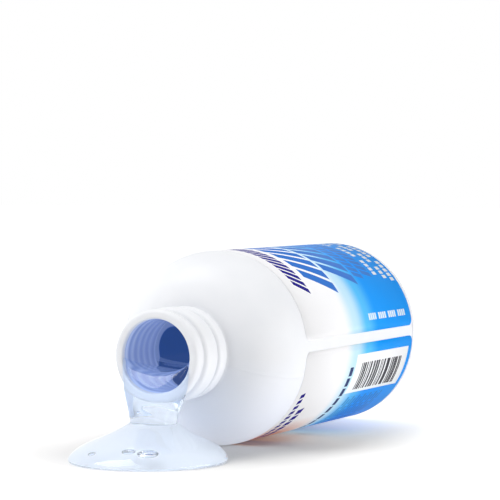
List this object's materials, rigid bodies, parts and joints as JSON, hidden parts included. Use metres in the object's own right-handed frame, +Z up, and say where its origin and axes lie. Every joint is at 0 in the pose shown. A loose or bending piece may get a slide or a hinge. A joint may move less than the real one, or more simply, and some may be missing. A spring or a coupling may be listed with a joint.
{
  "type": "contact lens solution bottle",
  "caption": "Round white squeeze bottle with an open screw neck, lying on its side, with wrap labels and clear gel running from its mouth into a puddle.",
  "frame": {"origin": "on the floor, under the middle of the box round bottle and puddle", "axes": "+Z up; the bottle's axis lies along Y, with its mouth towards -Y and its base towards +Y"},
  "size_m": [0.05, 0.1298, 0.05],
  "materials": {
    "bottle_hdpe": "satin gloss, white",
    "label_film": "gloss film printed in a white to blue fade",
    "gel": "clear, faintly blue, wet"
  },
  "bodies": {
    "root": {"bottle": "bottle_hdpe", "front_label": "label_film", "back_label": "label_film", "gel_in_bottle": "gel", "gel_stream": "gel", "gel_puddle": "gel"}
  },
  "joints": []
}
